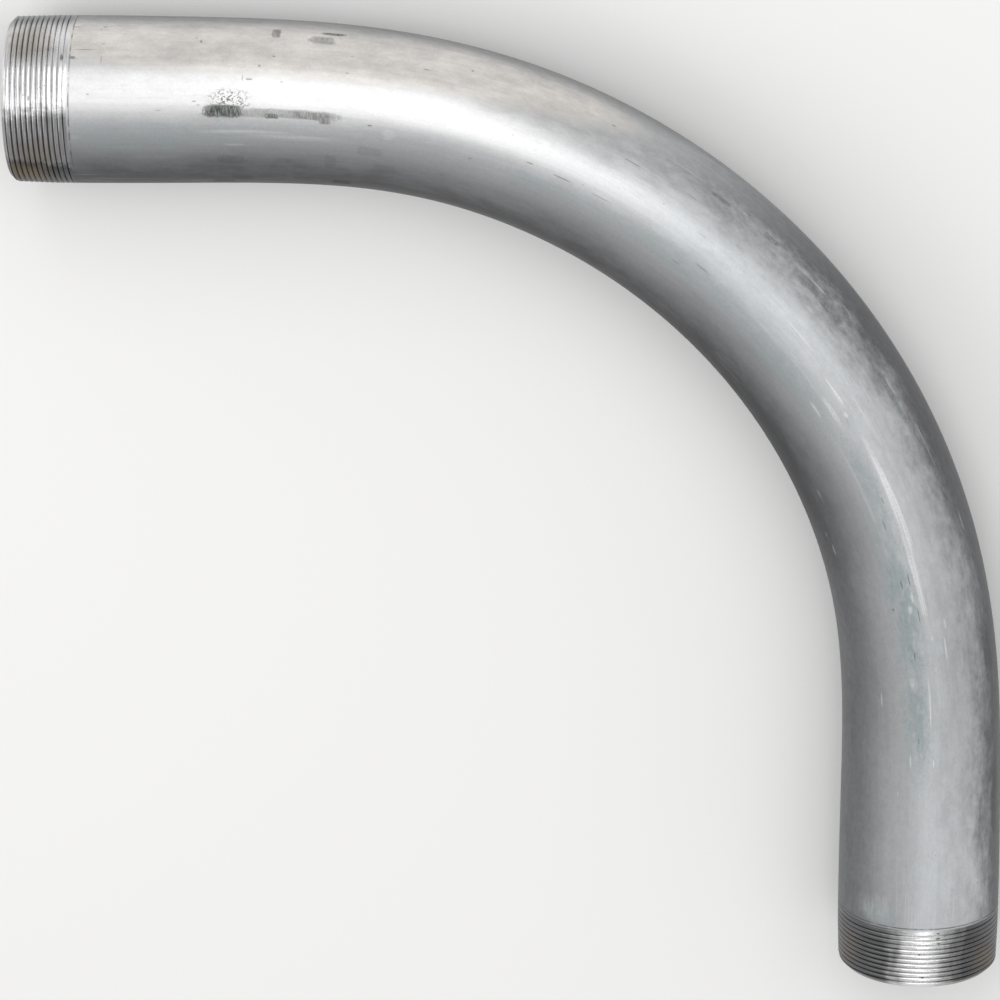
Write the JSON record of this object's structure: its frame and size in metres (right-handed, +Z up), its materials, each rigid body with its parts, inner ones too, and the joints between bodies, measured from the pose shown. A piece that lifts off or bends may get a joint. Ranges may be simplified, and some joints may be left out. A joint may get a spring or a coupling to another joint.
{
  "type": "rigid conduit elbow",
  "caption": "Quarter-turn elbow of galvanised steel conduit with a taper thread cut on each end, for turning a run of cable through a right angle.",
  "frame": {"origin": "middle of the elbow's outline, on the surface that it lies on", "axes": "+Z up, square to the plane of the bend; one leg runs out along -X and the other along -Y"},
  "size_m": [0.6094, 0.6094, 0.1016],
  "materials": {
    "zinc_coated_steel": "weathered hot-dip zinc, satin, with scuffs and bare cut threads"
  },
  "bodies": {
    "root": {"conduit_elbow": "zinc_coated_steel"}
  },
  "joints": []
}
